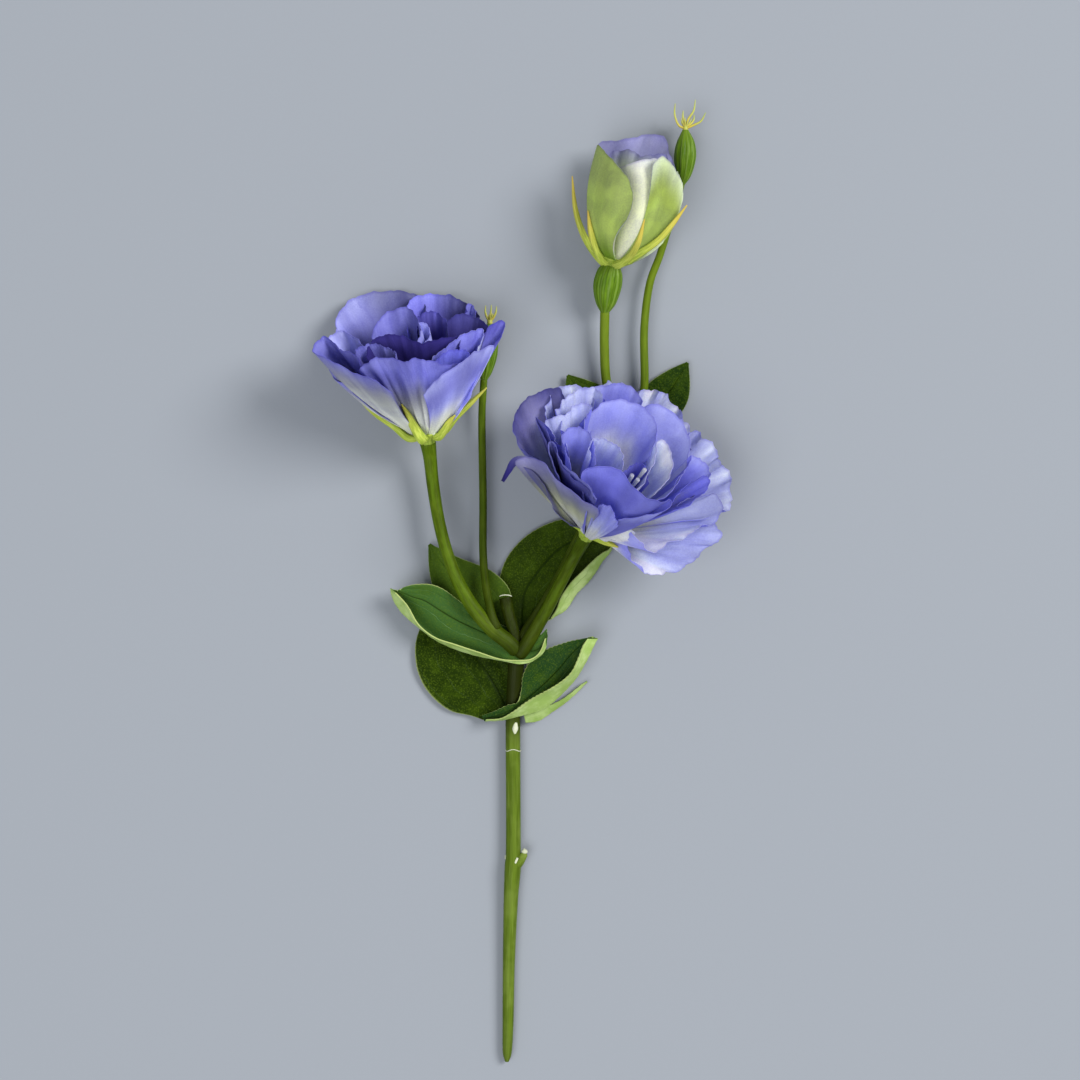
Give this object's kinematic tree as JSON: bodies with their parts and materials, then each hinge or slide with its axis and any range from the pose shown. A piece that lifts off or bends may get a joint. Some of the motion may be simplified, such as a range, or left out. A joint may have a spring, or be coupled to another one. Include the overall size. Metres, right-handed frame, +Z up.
{
  "type": "lisianthus flower spray",
  "caption": "Cut lisianthus spray lying flat: ruffled blue-violet double blooms, a half-open pale green bud, ribbed seed pods and dark green leaves on a green stem.",
  "frame": {"origin": "centre of the overall box, on the surface the spray lies on", "axes": "+Y along the stem from its cut end towards the flowers, +Z up off the surface, +X across the spray towards the right bloom"},
  "size_m": [0.1474, 0.3476, 0.0581],
  "materials": {
    "stem": "soft green skin, paler ridges and a pale scar or two",
    "leaf": "matt dark green with paler veins",
    "petal": "matt blue-violet, deeper in the throat, cream at the base",
    "bud_petal": "matt pale green with lilac edges",
    "calyx": "soft yellow-green",
    "pod": "soft green with paler ribs",
    "hair": "soft yellow-green with orange roots"
  },
  "bodies": {
    "root": {"main_stem": "stem", "upper_stem": "stem", "branch_left": "stem", "branch_right": "stem", "pod_stem_left": "stem", "bud_stem": "stem", "pod_stem_right": "stem", "empty_socket": "stem", "leaf_lower_left": "leaf", "leaf_lower_right": "leaf", "leaf_mid_left": "leaf", "leaf_upper_left": "leaf", "leaf_upper_right": "leaf", "bract_lower": "leaf", "leaf_top_right": "leaf", "leaf_top_left": "leaf", "bloom_left": "petal", "bloom_right": "petal", "bloom_bud": "bud_petal", "calyx_left": "calyx", "calyx_right": "calyx", "calyx_bud": "calyx", "bud_ovary": "pod", "pod_left": "pod", "pod_right": "pod", "pod_hairs_right": "hair", "pod_hairs_left": "hair"}
  },
  "joints": []
}
